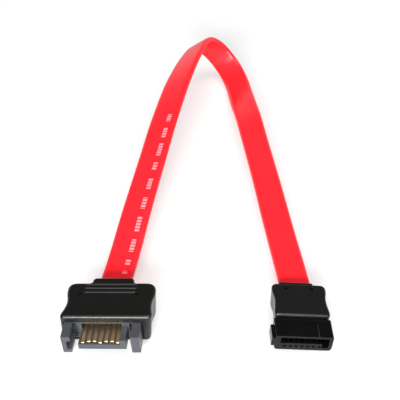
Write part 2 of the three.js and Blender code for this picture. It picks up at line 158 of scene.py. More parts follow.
def curve_point(points, span, t):
    """A point on the curve through all the points, t from 0 to 1 within one span."""
    here, there = points[span], points[span + 1]
    before = points[span - 1] if span else 2 * here - there
    after = points[span + 2] if span + 2 < len(points) else 2 * there - here
    pairs = (before, here), (here, there), (there, after)
    gaps = [math.sqrt((b - a).length) for a, b in pairs]
    leave = (here - before) / gaps[0] - (there - before) / (gaps[0] + gaps[1])
    leave = (leave + (there - here) / gaps[1]) * gaps[1]
    arrive = (there - here) / gaps[1] - (after - here) / (gaps[1] + gaps[2])
    arrive = (arrive + (after - there) / gaps[2]) * gaps[1]
    return cubic(here, there, leave, arrive, t)


def curve_lean(leans, span, t):
    """The lean there, in degrees. The outermost leans are repeated past the ends."""
    here, there = leans[span], leans[span + 1]
    before = leans[max(span - 1, 0)]
    after = leans[min(span + 2, len(leans) - 1)]
    return cubic(here, there, (there - before) / 2, (after - here) / 2, t)


def ribbon_stations():
    """Centre, width direction and face direction at each step along the ribbon."""
    points = [Vector(stop[:3]) for stop in ROUTE]
    leans = [stop[3] for stop in ROUTE]
    spans = range(len(ROUTE) - 1)
    places = [(span, k / STEPS_PER_SPAN) for span in spans for k in range(STEPS_PER_SPAN)]
    places.append((spans[-1], 1.0))
    centres = [curve_point(points, span, t) for span, t in places]
    stations = []
    for i, (span, t) in enumerate(places):
        ahead = centres[min(i + 1, len(centres) - 1)]
        behind = centres[max(i - 1, 0)]
        forward = (ahead - behind).normalized()
        level = forward.cross(Vector((0, 0, 1))).normalized()
        steep = level.cross(forward)
        lean = math.radians(curve_lean(leans, span, t))
        across = level * math.cos(lean) + steep * math.sin(lean)
        stations.append((centres[i], across, across.cross(forward)))
    return stations


stations = ribbon_stations()
lengths = [0.0]
for (a, _, _), (b, _, _) in zip(stations, stations[1:]):
    lengths.append(lengths[-1] + (b - a).length)
print("ribbon length:", round(lengths[-1], 1), "mm in", len(stations), "steps")

# %% [markdown]
# ## The ribbon's skin
#
# The jacket is squeezed out of a die, so one section runs the whole way: two flat faces with
# round edges. Each ring of points is laid on a station of the route. A vertex attribute keeps
# how far along and how far across each point lies, because the print and the faint marks of
# the wires have to follow the ribbon round its fold.

# %% Ribbon skin
RIBBON_WIDTH = 7.3
RIBBON_THICKNESS = 1.7
RIBBON_EDGE = 0.78
EDGE_POINTS = 7
FACE_POINTS = 9


def ribbon_section():
    """Places across and above the ribbon's middle: an arc and a face, and the same again."""
    flat = RIBBON_WIDTH / 2 - RIBBON_EDGE
    rise = RIBBON_THICKNESS / 2 - RIBBON_EDGE
    section = []
    for side, start in ((1, -90), (-1, 90)):
        for k in range(EDGE_POINTS):
            angle = math.radians(start + 180 * k / (EDGE_POINTS - 1))
            lift = rise if math.sin(angle) > 0 else -rise
            across = side * flat + RIBBON_EDGE * math.cos(angle)
            section.append((across, lift + RIBBON_EDGE * math.sin(angle)))
        for k in range(1, FACE_POINTS):
            share = 1 - 2 * k / FACE_POINTS
            section.append((side * flat * share, side * RIBBON_THICKNESS / 2))
    return section


def skin_faces(count):
    """Faces between neighbouring rings of count points each, and a lid on either end."""
    faces = []
    for ring in range(len(stations) - 1):
        low, high = ring * count, (ring + 1) * count
        for k in range(count):
            after = (k + 1) % count
            faces.append((low + k, low + after, high + after, high + k))
    last = (len(stations) - 1) * count
    faces.append(tuple(reversed(range(count))))
    faces.append(tuple(range(last, last + count)))
    return faces


def make_ribbon():
    section = ribbon_section()
    points, lies = [], []
    for (centre, across, face), length in zip(stations, lengths):
        for a, b in section:
            points.append((centre + across * a + face * b) * MM)
            lies.append((length, a, b))
    mesh = bpy.data.meshes.new("ribbon")
    mesh.from_pydata(points, [], skin_faces(len(section)))
    attribute = mesh.attributes.new("lie", "FLOAT_VECTOR", "POINT")
    attribute.data.foreach_set("vector", [value for lie in lies for value in lie])
    mesh.validate()
    ribbon = bpy.data.objects.new("ribbon", mesh)
    bpy.context.collection.objects.link(ribbon)
    return ribbon


ribbon = make_ribbon()
print("ribbon:", len(ribbon.data.vertices), "vertices")

# %% [markdown]
# ## Shading a piece
#
# An operator works on all that is selected, so each helper first selects its own piece. Faces
# that meet at a blunt angle are shaded as one surface. Weighted normals then let the wide flat
# faces decide, so that they stay flat and only the narrow roundings between them bend the
# light, as on a real moulding.

# %% Shading
SHARP_ANGLE = 40
RIBBON_SHARP_ANGLE = 50


def select_only(piece):
    bpy.ops.object.select_all(action="DESELECT")
    piece.select_set(True)
    bpy.context.view_layer.objects.active = piece


def clean_normals(piece):
    """Turns every face outwards."""
    select_only(piece)
    bpy.ops.object.mode_set(mode="EDIT")
    bpy.ops.mesh.select_all(action="SELECT")
    bpy.ops.mesh.normals_make_consistent(inside=False)
    bpy.ops.mesh.select_all(action="DESELECT")
    bpy.ops.object.mode_set(mode="OBJECT")


def smooth(piece, degrees=SHARP_ANGLE):
    """Smooth shading below the angle, with wide flat faces kept flat."""
    select_only(piece)
    bpy.ops.object.shade_smooth_by_angle(angle=math.radians(degrees))
    even = piece.modifiers.new("even", "WEIGHTED_NORMAL")
    even.keep_sharp = True
    bpy.ops.object.modifier_apply(modifier=even.name)


clean_normals(ribbon)
smooth(ribbon, RIBBON_SHARP_ANGLE)
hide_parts("ribbon_jacket")
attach(ribbon, "root")
print("ribbon shaded:", len(ribbon.data.polygons), "faces")

# %% [markdown]
# ## How the connectors lie
#
# Each connector is modelled flat on the table with its mating end towards us, and is then laid
# where the stiff ribbon holds it: turned a little, and with one side lifted. The same place,
# turn and roll are used for the solid, so a new piece lands exactly on it.

# %% Where the connectors lie
PLUG = {"at": (-20.195, -8.163, 0.619), "turn": -4.2, "roll": -4.2}
RECEPTACLE = {"at": (22.805, -6.863, 0.494), "turn": 1.8, "roll": 5.2}


def lay_down(piece, connector):
    """Moves the mesh itself, so the object stays at the origin, unturned and unscaled."""
    place = Matrix.Translation(Vector(connector["at"]) * MM)
    turn = Matrix.Rotation(math.radians(connector["turn"]), 4, "Z")
    roll = Matrix.Rotation(math.radians(connector["roll"]), 4, "Y")
    piece.data.transform(place @ turn @ roll)
    piece.data.update()


print("plug:", PLUG, "receptacle:", RECEPTACLE)

# %% [markdown]
# ## Cutters and roundings
#
# A mould is a block with simple shapes sunk into it, and the moulding shows them as hollows,
# grooves and dimples. They could be cut in by hand, but a boolean with a cube or a cylinder
# keeps every hollow at its exact place. Each cutter is a primitive whose own mesh is moved,
# and it is thrown away after its cut. A bevel modifier then gives the cut edges the small
# radius that every moulding has.

# %% Cutters
ROD_SIDES = 28
PIN_SIDES = 24


def apply_modifiers(piece):
    select_only(piece)
    for modifier in list(piece.modifiers):
        bpy.ops.object.modifier_apply(modifier=modifier.name)


def carve(piece, tool, operation="DIFFERENCE"):
    """Cuts or joins with another mesh, and throws that mesh away."""
    modifier = piece.modifiers.new("carve", "BOOLEAN")
    modifier.operation = operation
    modifier.solver = "EXACT"
    modifier.object = tool
    apply_modifiers(piece)
    bpy.data.objects.remove(tool)


def box(name, low, high):
    """A primitive cube, pulled to two corners given in millimetres."""
    bpy.ops.object.select_all(action="DESELECT")
    bpy.ops.mesh.primitive_cube_add(size=1)
    cube = bpy.context.object
    cube.name = name
    middle = [(a + b) / 2 * MM for a, b in zip(low, high)]
    span = [(b - a) * MM for a, b in zip(low, high)]
    cube.data.transform(Matrix.Translation(middle) @ Matrix.Diagonal((*span, 1)))
    return cube


def cylinder(sides, radius, length):
    bpy.ops.object.select_all(action="DESELECT")
    bpy.ops.mesh.primitive_cylinder_add(vertices=sides, radius=radius * MM, depth=length * MM)
    return bpy.context.object


def rod(left, right, y, z, radius):
    """A round cutter that lies from side to side."""
    lying = cylinder(ROD_SIDES, radius, right - left)
    place = Matrix.Translation(Vector(((left + right) / 2, y, z)) * MM)
    lying.data.transform(place @ Matrix.Rotation(math.pi / 2, 4, "Y"))
    return lying


def pin(x, y, low, high, radius):
    """A round cutter that stands upright."""
    upright = cylinder(PIN_SIDES, radius, high - low)
    upright.data.transform(Matrix.Translation(Vector((x, y, (low + high) / 2)) * MM))
    return upright


def soften(piece, width, degrees, segments=2):
    """Rounds the edges that are sharper than the given angle."""
    modifier = piece.modifiers.new("soften", "BEVEL")
    modifier.width = width * MM
    modifier.segments = segments
    modifier.limit_method = "ANGLE"
    modifier.angle_limit = math.radians(degrees)
    apply_modifiers(piece)


# %% [markdown]
# ## The grips' outlines
#
# A grip is soft vinyl moulded over the housing: a waisted block with well rounded edges and a
# short tapered relief where the ribbon leaves. A subdivided cube could give the waist, but its
# ends would turn out too round. So the outline is drawn first, as seen from above, with a few
# curves for its right half, and the left half is their mirror image.

# %% Outlines
CORNER_STEPS = 10
SIDE_STEPS = 14
RELIEF_STEPS = 6
FLARE_LEAVE, FLARE_ARRIVE = 0.15, 0.55
RELIEF_SHOULDER = 0.2
RELIEF_STRAIGHT = 0.75


def bezier(controls, steps):
    """Points along a quadratic or cubic curve, without its last point."""
    points = []
    for k in range(steps):
        ring = [Vector(c) for c in controls]
        while len(ring) > 1:
            ring = [a.lerp(b, k / steps) for a, b in zip(ring, ring[1:])]
        points.append(ring[0])
    return points


def with_mirror(right):
    """Closes a right half, drawn from front to rear, with its mirror image."""
    return right + [Vector((-point.x, point.y)) for point in reversed(right)]


def grip_outline(front, rear, halves, land, waist_share, front_corner, rear_corner):
    """A waisted outline, with its half widths at the front, the waist and the rear.

    The wall runs straight over the land, which has to be longer than the front corner.
    """
    wide, narrow, back = halves
    land_end = front + land
    waist = front + (rear - front) * waist_share
    flare = waist - land_end
    leave, arrive = land_end + FLARE_LEAVE * flare, land_end + FLARE_ARRIVE * flare
    rear_land = rear - rear_corner
    middle = (waist + rear_land) / 2
    tip = Vector((wide, front + front_corner))
    tail = Vector((back - rear_corner, rear))
    to_waist = (wide, land_end), (wide, leave), (narrow, arrive), (narrow, waist)
    to_rear = (narrow, waist), (narrow, middle), (back, middle), (back, rear_land)
    right = bezier(((wide - front_corner, front), (wide, front), tip), CORNER_STEPS) + [tip]
    right += bezier(to_waist, SIDE_STEPS)
    right += bezier(to_rear, SIDE_STEPS)
    right += bezier(((back, rear_land), (back, rear), tail), CORNER_STEPS) + [tail]
    return with_mirror(right)


def relief_outline(start, end, half, taper):
    """The relief behind a grip: a shoulder that narrows by the taper, and two round corners.

    It begins as far inside the grip as it stands out behind it.
    """
    tip = half - taper
    corner = end - start - RELIEF_STRAIGHT
    tail = Vector((tip - corner, end))
    shoulder = (half, start), (tip, start + RELIEF_SHOULDER), (tip, end - corner)
    right = [Vector((half, start - (end - start))), Vector((half, start))]
    right += bezier(shoulder, RELIEF_STEPS)[1:]
    right += bezier(((tip, end - corner), (tip, end), tail), RELIEF_STEPS) + [tail]
    return with_mirror(right)


print("outlines: corners in", CORNER_STEPS, "steps, sides in", SIDE_STEPS)

# %% [markdown]
# ## From an outline to a block
#
# A circle with as many points as the outline is added, and its points are moved to the
# outline. The filled circle is extruded upwards in edit mode. The edges of both rims are the
# level ones, so they can be picked by their heights, and one bevel rounds them all.

# %% Blocks
RIM_SEGMENTS = 6
LEVEL_WITHIN = 0.01


def raise_outline(name, outline, low, high, rim, shift=0):
    """A filled outline pulled up from low to high, with both of its rims rounded."""
    bpy.ops.object.select_all(action="DESELECT")
    bpy.ops.mesh.primitive_circle_add(vertices=len(outline), radius=MM, fill_type="NGON")
    piece = bpy.context.object
    piece.name = name
    for vertex, point in zip(piece.data.vertices, outline):
        vertex.co = (point.x + shift) * MM, point.y * MM, low * MM
    bpy.ops.object.mode_set(mode="EDIT")
    bpy.ops.mesh.select_all(action="SELECT")
    rise = {"value": (0, 0, (high - low) * MM)}
    bpy.ops.mesh.extrude_region_move(TRANSFORM_OT_translate=rise)
    bpy.ops.mesh.select_mode(type="EDGE")
    bpy.ops.mesh.select_all(action="DESELECT")
    shape = bmesh.from_edit_mesh(piece.data)
    for edge in shape.edges:
        edge.select = abs(edge.verts[0].co.z - edge.verts[1].co.z) < LEVEL_WITHIN * MM
    bmesh.update_edit_mesh(piece.data)
    bpy.ops.mesh.bevel(offset=rim * MM, segments=RIM_SEGMENTS, profile=0.5, affect="EDGES")
    bpy.ops.object.mode_set(mode="OBJECT")
    clean_normals(piece)
    return piece


# %% What both grips share
GRIP_FOOT = 0.06
GRIP_EDGE_ANGLE = 50
GRIP_EDGE_SEGMENTS = 3
RELIEF_DROP = 0.05
DIMPLE_DEPTH = 0.7
CUT_OVER = 1


def share_between(value, low, high):
    """How far a value lies from low to high, kept between 0 and 1."""
    return min(max((value - low) / (high - low), 0), 1)


def hollow_out(grip, rooms):
    """Cuts the rooms, each given by its lowest and its highest corner."""
    for name, (low, high) in rooms.items():
        carve(grip, box(name, low, high))


def dimple(grip, x, y, top, radius):
    """Cuts a small round hollow in the top of a grip."""
    carve(grip, pin(x, y, top - DIMPLE_DEPTH, top + CUT_OVER, radius))


def finish_grip(grip, edge, connector):
    soften(grip, edge, GRIP_EDGE_ANGLE, GRIP_EDGE_SEGMENTS)
    smooth(grip)
    lay_down(grip, connector)


# %% [markdown]
# ### The plug's grip
#
# It is wider than the housing and sits off centre on it, so its right wall is thicker. That
# wall leans in towards the underside, and the left one runs out a little, so the underside
# lies further left than the top. Three grooves across the top and underneath give the fingers
# hold, and a dimple sits at each end of the front one. Inside are rooms for the housing, for
# its narrower rear, for the wires and for the ribbon.

# %% Plug grip's sizes
PLUG_SHIFT = 0.75
PLUG_HEIGHT = 7.55
PLUG_FRONT, PLUG_REAR = 4.2, 14.8
PLUG_HALVES = (9.85, 9.3, 9.75)
PLUG_ROOMS = {
    "hollow": ((-8.7, 3, 0.85), (8.7, 6.6, 6.05)),
    "throat": ((-7.25, 6, 1.2), (7.25, 9.9, 5.7)),
    "wire_room": ((-4.9, 9.5, 2.6), (4.9, 14.4, 4.1)),
    "mouth": ((-3.5, 9.5, 2.2), (4.5, 18, 4.5)),
}
TOP_SPREAD, FOOT_SPREAD = 0.02, -0.01
TOP_DRIFT = 0.1
FOOT_DRIFT_FRONT, FOOT_DRIFT_REAR = -0.72, -0.37
BOW = 0.25
GROOVES = 3
LAST_GROOVE = 13.95
GROOVE_PITCH = 1.25
GROOVE_LEFT, GROOVE_RIGHT = -4.95, 6.45
GROOVE_RADIUS = 0.45
GROOVE_AXIS = 0.3
PLUG_DIMPLES_MIDDLE = 0.5
PLUG_DIMPLES_APART = 12.7
PLUG_DIMPLES_BACK = 11.2
print("plug grip:", PLUG_HEIGHT, "mm high,", round(PLUG_REAR - PLUG_FRONT, 2), "mm long")

# %% Plug grip


def lean_walls(grip):
    """Moves each level of the block to the side, and spreads or narrows it a little."""
    for vertex in grip.data.vertices:
        x, y, z = vertex.co / MM
        rise = share_between(z, 0, PLUG_HEIGHT)
        back = share_between(y, PLUG_FRONT, PLUG_REAR)
        wider = 1 + TOP_SPREAD * rise + FOOT_SPREAD * (1 - rise)
        foot_drift = FOOT_DRIFT_FRONT + (FOOT_DRIFT_REAR - FOOT_DRIFT_FRONT) * back
        move = TOP_DRIFT * back * rise + foot_drift * (1 - rise)
        move += BOW * math.sin(math.pi * back)
        vertex.co.x = (PLUG_SHIFT + (x - PLUG_SHIFT) * wider + move) * MM
    grip.data.update()


def cut_grooves(grip):
    """Cuts the grooves with rods whose axes lie outside the top and the underside."""
    for k in range(GROOVES):
        middle = LAST_GROOVE - GROOVE_PITCH * k
        for level in (PLUG_HEIGHT + GROOVE_AXIS, -GROOVE_AXIS):
            carve(grip, rod(GROOVE_LEFT, GROOVE_RIGHT, middle, level, GROOVE_RADIUS))


def make_plug_grip():
    outline = grip_outline(
        front=PLUG_FRONT,
        rear=PLUG_REAR,
        halves=PLUG_HALVES,
        land=1.2,
        waist_share=0.43,
        front_corner=1.0,
        rear_corner=2.2,
    )
    grip = raise_outline("plug_grip", outline, GRIP_FOOT, PLUG_HEIGHT, rim=0.7, shift=PLUG_SHIFT)
    relief = relief_outline(start=14.5, end=16.3, half=5.8, taper=1.2)
    relief_top = PLUG_HEIGHT - RELIEF_DROP
    carve(grip, raise_outline("relief", relief, 0.35, relief_top, rim=0.4, shift=0.95), "UNION")
    lean_walls(grip)
    hollow_out(grip, PLUG_ROOMS)
    cut_grooves(grip)
    for side in (-1, 1):
        x = PLUG_DIMPLES_MIDDLE + side * PLUG_DIMPLES_APART / 2
        dimple(grip, x, PLUG_DIMPLES_BACK, PLUG_HEIGHT, radius=0.42)
    finish_grip(grip, edge=0.13, connector=PLUG)
    return grip


plug_grip = make_plug_grip()
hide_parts("plug_overmould")
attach(plug_grip, "root")
print("plug grip:", len(plug_grip.data.polygons), "faces")

# %% [markdown]
# ### The receptacle's grip
#
# It is made the same way, but it is lower, about as wide as its housing's nose, and its relief
# is short and wide. Its left wall leans in towards the underside. Two dimples mark the rear of
# its top.

# %% Receptacle grip
RECEPTACLE_HEIGHT = 5.6
RECEPTACLE_HALVES = (6.15, 5.8, 6.15)
RECEPTACLE_ROOMS = {
    "neck_room": ((-5.2, 4, 0.85), (4.65, 8.1, 4.35)),
    "tail_room": ((-5.2, 7.5, 1.08), (4.65, 10.3, 3.5)),
    "wire_room": ((-4.9, 7.5, 2.06), (4.9, 13.5, 3.5)),
    "mouth": ((-4.05, 7.5, 1.63), (3.95, 17, 3.93)),
}
LEFT_WALL_LEAN = 0.45
RECEPTACLE_DIMPLES_APART = 6
RECEPTACLE_DIMPLES_BACK = 13.5


def lean_left_wall(grip):
    """Moves the left half inwards, by nothing at the top and most at the underside."""
    for vertex in grip.data.vertices:
        if vertex.co.x < 0:
            rise = share_between(vertex.co.z / MM, 0, RECEPTACLE_HEIGHT)
            vertex.co.x += LEFT_WALL_LEAN * MM * (1 - rise)


def make_receptacle_grip():
    outline = grip_outline(
        front=5.4,
        rear=15.0,
        halves=RECEPTACLE_HALVES,
        land=1.3,
        waist_share=0.5,
        front_corner=0.9,
        rear_corner=1.4,
    )
    grip = raise_outline("receptacle_grip", outline, GRIP_FOOT, RECEPTACLE_HEIGHT, rim=0.45)
    relief = relief_outline(start=14.4, end=15.55, half=4.9, taper=1.0)
    relief_top = RECEPTACLE_HEIGHT - RELIEF_DROP
    carve(grip, raise_outline("relief", relief, 0.5, relief_top, rim=0.3, shift=-0.5), "UNION")
    lean_left_wall(grip)
    hollow_out(grip, RECEPTACLE_ROOMS)
    for side in (-1, 1):
        x = side * RECEPTACLE_DIMPLES_APART / 2
        dimple(grip, x, RECEPTACLE_DIMPLES_BACK, RECEPTACLE_HEIGHT, radius=0.4)
    finish_grip(grip, edge=0.15, connector=RECEPTACLE)
    return grip


receptacle_grip = make_receptacle_grip()
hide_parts("receptacle_overmould")
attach(receptacle_grip, "root")
print("receptacle grip:", len(receptacle_grip.data.polygons), "faces")

# %% [markdown]
# ## The housings
#
# The two housings are hard nylon with small, even radii from the mould. Their solids already
# have every wall, slot and window, so building them again would only bring errors. A copy of
# each is taken, its loose triangles are merged back into flat faces, and its edges get the
# small radius that catches the light.

# %% Rounded copies
MERGE_DISTANCE = 0.002
FLAT_ANGLE = 1
HOUSING_EDGE_ANGLE = 35


def rounded_copy(node, name, width):
    """A copy of a solid, without the marks that tie it to its node, with rounded edges."""
    piece = nodes[node].copy()
    piece.data = nodes[node].data.copy()
    piece.name = name
    for key in list(piece.keys()):
        del piece[key]
    piece.parent = None
    bpy.context.collection.objects.link(piece)
    piece.data.materials.clear()
    select_only(piece)
    bpy.ops.object.mode_set(mode="EDIT")
    bpy.ops.mesh.select_all(action="SELECT")
    bpy.ops.mesh.remove_doubles(threshold=MERGE_DISTANCE * MM)
    bpy.ops.mesh.dissolve_limited(angle_limit=math.radians(FLAT_ANGLE))
    bpy.ops.mesh.normals_make_consistent(inside=False)
    bpy.ops.mesh.select_all(action="DESELECT")
    bpy.ops.object.mode_set(mode="OBJECT")
    soften(piece, width, HOUSING_EDGE_ANGLE)
    smooth(piece)
    return piece


plug_body = rounded_copy("plug_housing", "plug_body", width=0.07)
print("plug body:", len(plug_body.data.polygons), "faces")

# %% [markdown]
# ### Slits and pocket of the plug
#
# The plug's body is open above the tongue, where it takes in the mate's nose. Between the
# blades the tongue is cored out in the mould, which keeps its wall even. Both are cut from the
# rounded copy. The copy already lies where the plug does, so each cutter is laid down first.

# %% Slits and pocket
BLADE_COUNT = 7
PITCH = 1.27
BLADES_CENTRE = -0.275
SLIT_WIDTH = 0.36
SLIT_FRONT = 0.6
SLIT_LOW, SLIT_HIGH = 3.1, 4
POCKET_LEFT, POCKET_RIGHT = -4.7, 4.15
POCKET_FRONT, POCKET_BACK = 3.9, 7.2
POCKET_LOW, POCKET_HIGH = 3.44, 5.45


def blade_middle(number):
    """How far across a blade lies. They count from 1, and a half lies between two blades."""
    return BLADES_CENTRE + (number - (BLADE_COUNT + 1) / 2) * PITCH


def cut_plug_body(name, left, right, front, low, high):
    cutter = box(name, (left, front, low), (right, POCKET_BACK, high))
    lay_down(cutter, PLUG)
    carve(plug_body, cutter)


for number in range(1, BLADE_COUNT):
    middle = blade_middle(number + 0.5)
    left, right = middle - SLIT_WIDTH / 2, middle + SLIT_WIDTH / 2
    cut_plug_body("slit", left, right, SLIT_FRONT, SLIT_LOW, SLIT_HIGH)
cut_plug_body("pocket", POCKET_LEFT, POCKET_RIGHT, POCKET_FRONT, POCKET_LOW, POCKET_HIGH)
smooth(plug_body)
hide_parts("plug_housing")
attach(plug_body, "root")
print("plug body with slits:", len(plug_body.data.polygons), "faces")

# %% Receptacle body
receptacle_body = rounded_copy("receptacle_housing", "receptacle_body", width=0.05)
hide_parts("receptacle_housing")
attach(receptacle_body, "root")
print("receptacle body:", len(receptacle_body.data.polygons), "faces")

# %% [markdown]
# ## The blades of the plug
#
# The seven blades are stamped strips that lie in grooves of the tongue. Their tips are rounded
# over, so that a mate slides on, and the three ground blades reach further forward, so that
# ground meets first. Each blade is a cube that is pulled to its place, and its upper front
# edge, which is found by its place, is bevelled for the tip.

# %% Blades
BLADE_WIDTH = 0.74
BLADE_LOW, BLADE_HIGH = 3.24, 3.49
BLADE_START, BLADE_END = 0.95, 11.1
GROUND_BLADES = (1, 4, 7)
GROUND_LEAD = 0.35
TIP_ROUNDING = 0.22
TIP_SEGMENTS = 5


def make_blade(number):
    start = BLADE_START - (GROUND_LEAD if number in GROUND_BLADES else 0)
    left = blade_middle(number) - BLADE_WIDTH / 2
    right = blade_middle(number) + BLADE_WIDTH / 2
    blade = box(f"blade_{number}", (left, start, BLADE_LOW), (right, BLADE_END, BLADE_HIGH))
    bpy.ops.object.mode_set(mode="EDIT")
    bpy.ops.mesh.select_mode(type="EDGE")
    bpy.ops.mesh.select_all(action="DESELECT")
    shape = bmesh.from_edit_mesh(blade.data)
    for edge in shape.edges:
        in_front = all(vertex.co.y < (start + LEVEL_WITHIN) * MM for vertex in edge.verts)
        on_top = all(vertex.co.z > (BLADE_HIGH - LEVEL_WITHIN) * MM for vertex in edge.verts)
        edge.select = in_front and on_top
    bmesh.update_edit_mesh(blade.data)
    rounding = TIP_ROUNDING * MM
    bpy.ops.mesh.bevel(offset=rounding, segments=TIP_SEGMENTS, profile=0.5, affect="EDGES")
    bpy.ops.object.mode_set(mode="OBJECT")
    soften(blade, width=0.05, degrees=40)
    smooth(blade)
    lay_down(blade, PLUG)
    return blade


blades = []
for number in range(1, BLADE_COUNT + 1):
    blade = make_blade(number)
    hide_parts(f"plug_contact_{number}")
    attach(blade, "root")
    blades.append(blade)
print("blades:", len(blades))

# %% [markdown]
# ## Nodes that every material uses
#
# A material is a small net of nodes. These helpers make the ones that come back in each: a
# noise, a sum, a colour between two colours and a bump. A value given to them is either a
# plain number or colour, or the output of another node.

# %% Node helpers


def feed(tree, value, socket):
    """Sets a socket to a plain value, or links another node's output to it."""
    if isinstance(value, bpy.types.NodeSocket):
        tree.links.new(value, socket)
    else:
        socket.default_value = value


def math_node(tree, operation, *values):
    node = tree.nodes.new("ShaderNodeMath")
    node.operation = operation
    for socket, value in zip(node.inputs, values):
        feed(tree, value, socket)
    return node.outputs["Value"]


def fade(tree, value, start, end, first=0, last=1):
    """Goes from first to last as the value goes from start to end."""
    node = tree.nodes.new("ShaderNodeMapRange")
    given = {"Value": value, "From Min": start, "From Max": end, "To Min": first, "To Max": last}
    for name, setting in given.items():
        feed(tree, setting, node.inputs[name])
    return node.outputs["Result"]


def noise(tree, place, scale, detail):
    node = tree.nodes.new("ShaderNodeTexNoise")
    for name, setting in (("Vector", place), ("Scale", scale), ("Detail", detail)):
        feed(tree, setting, node.inputs[name])
    return node.outputs["Fac"]


def object_place(tree):
    return tree.nodes.new("ShaderNodeTexCoord").outputs["Object"]


def drawn_out(tree, place, squeeze, turn=0):
    """Makes a pattern long in one direction: along y, or turned about z from there."""
    node = tree.nodes.new("ShaderNodeMapping")
    node.inputs["Scale"].default_value = (1, squeeze, 1)
    node.inputs["Rotation"].default_value = (0, 0, turn)
    feed(tree, place, node.inputs["Vector"])
    return node.outputs["Vector"]


def colour_between(tree, share, first, second):
    """Goes from the first colour to the second as the share goes from 0 to 1."""
    node = tree.nodes.new("ShaderNodeMix")
    node.data_type = "RGBA"
    for name, setting in (("Factor", share), ("A", first), ("B", second)):
        feed(tree, setting, node.inputs[name])
    return node.outputs["Result"]


def add_bump(tree, shader, height, depth):
    """Bumps the surface by a height of which 1 stands for this depth."""
    node = tree.nodes.new("ShaderNodeBump")
    node.inputs["Strength"].default_value = 1
    node.inputs["Distance"].default_value = depth * MM
    feed(tree, height, node.inputs["Height"])
    feed(tree, node.outputs["Normal"], shader.inputs["Normal"])


def new_material(name):
    """A material with its node tree and its shader."""
    material = bpy.data.materials.new(name)
    material.use_nodes = True
    return material, material.node_tree, material.node_tree.nodes["Principled BSDF"]


# %% [markdown]
# ## The moulded surface
#
# Moulded plastic is never one flat colour: it has a fine grain, faint cloudiness and small
# scuffs. One node group makes these for every plastic. Each material gives it its own scale
# and strength, and the shader itself stays in the material.

# %% The moulding group
GRAIN_DETAIL, CLOUD_DETAIL, SCUFF_DETAIL = 3, 4, 5
SCUFF_SCALE = 1800
SCUFF_SQUEEZE = 0.15
SCUFF_TURN = 0.5
SCUFF_FROM, SCUFF_FULL = 0.62, 0.75
MOULDING_SETTINGS = {"Grain Scale": 6000.0, "Cloud Scale": 300.0, "Scuff Amount": 0.3}


def moulding_group():
    group = bpy.data.node_groups.new("moulded surface", "ShaderNodeTree")
    socket = group.interface.new_socket
    for name, value in MOULDING_SETTINGS.items():
        given = socket(name, in_out="INPUT", socket_type="NodeSocketFloat")
        given.default_value = value
    for name in ("Grain", "Clouds", "Scuffs"):
        socket(name, in_out="OUTPUT", socket_type="NodeSocketFloat")
    given = group.nodes.new("NodeGroupInput").outputs
    made = group.nodes.new("NodeGroupOutput").inputs
    place = object_place(group)
    feed(group, noise(group, place, given["Grain Scale"], GRAIN_DETAIL), made["Grain"])
    feed(group, noise(group, place, given["Cloud Scale"], CLOUD_DETAIL), made["Clouds"])
    streaks = drawn_out(group, place, SCUFF_SQUEEZE, SCUFF_TURN)
    streaks = noise(group, streaks, SCUFF_SCALE, SCUFF_DETAIL)
    scuffs = fade(group, streaks, SCUFF_FROM, SCUFF_FULL)
    feed(group, math_node(group, "MULTIPLY", scuffs, given["Scuff Amount"]), made["Scuffs"])
    return group


moulded = moulding_group()
print("node group:", moulded.name, "with", len(moulded.nodes), "nodes")

# %% [markdown]
# ## Plastics and metals
#
# The grips are a soft vinyl, nearly black. The plug's housing is a blue-grey nylon, and the
# receptacle's is a darker one with less gloss. A scuff is a little smoother than the moulding
# around it, so it lowers the roughness. The contacts are stamped from strip with a thin gold
# finish, and drawing the strip leaves fine lines along it.

# %% Plastics and metals
SCUFF_POLISH = 0.15
DRAWN_SCALE, DRAWN_DETAIL = 4000, 2
DRAWN_SQUEEZE = 0.1
DRAWN_DEPTH = 0.002
DRAWN_SHADE = 0.8


def add_moulding(tree, settings):
    """Places the group in a material, with the material's own settings."""
    node = tree.nodes.new("ShaderNodeGroup")
    node.node_tree = moulded
    for name, value in settings.items():
        node.inputs[name].default_value = value
    return node.outputs


def plastic(name, dark, light, rough, grain_scale, grain_depth, scuffs, gloss=0.5):
    """A moulded plastic between two close colours, with grain, clouds and scuffs."""
    material, tree, shader = new_material(name)
    surface = add_moulding(tree, {"Grain Scale": grain_scale, "Scuff Amount": scuffs})
    colour = colour_between(tree, surface["Clouds"], (*dark, 1), (*light, 1))
    feed(tree, colour, shader.inputs["Base Color"])
    worn = fade(tree, surface["Scuffs"], 0, 1, rough, rough - SCUFF_POLISH)
    feed(tree, worn, shader.inputs["Roughness"])
    add_bump(tree, shader, surface["Grain"], grain_depth)
    shader.inputs["Specular IOR Level"].default_value = gloss
    return material


def metal(name, colour, rough):
    """A drawn metal, with fine lines along it."""
    material, tree, shader = new_material(name)
    lines = drawn_out(tree, object_place(tree), DRAWN_SQUEEZE)
    lines = noise(tree, lines, DRAWN_SCALE, DRAWN_DETAIL)
    dark = [level * DRAWN_SHADE for level in colour]
    colour = colour_between(tree, lines, (*dark, 1), (*colour, 1))
    feed(tree, colour, shader.inputs["Base Color"])
    add_bump(tree, shader, lines, DRAWN_DEPTH)
    shader.inputs["Metallic"].default_value = 1
    shader.inputs["Roughness"].default_value = rough
    return material


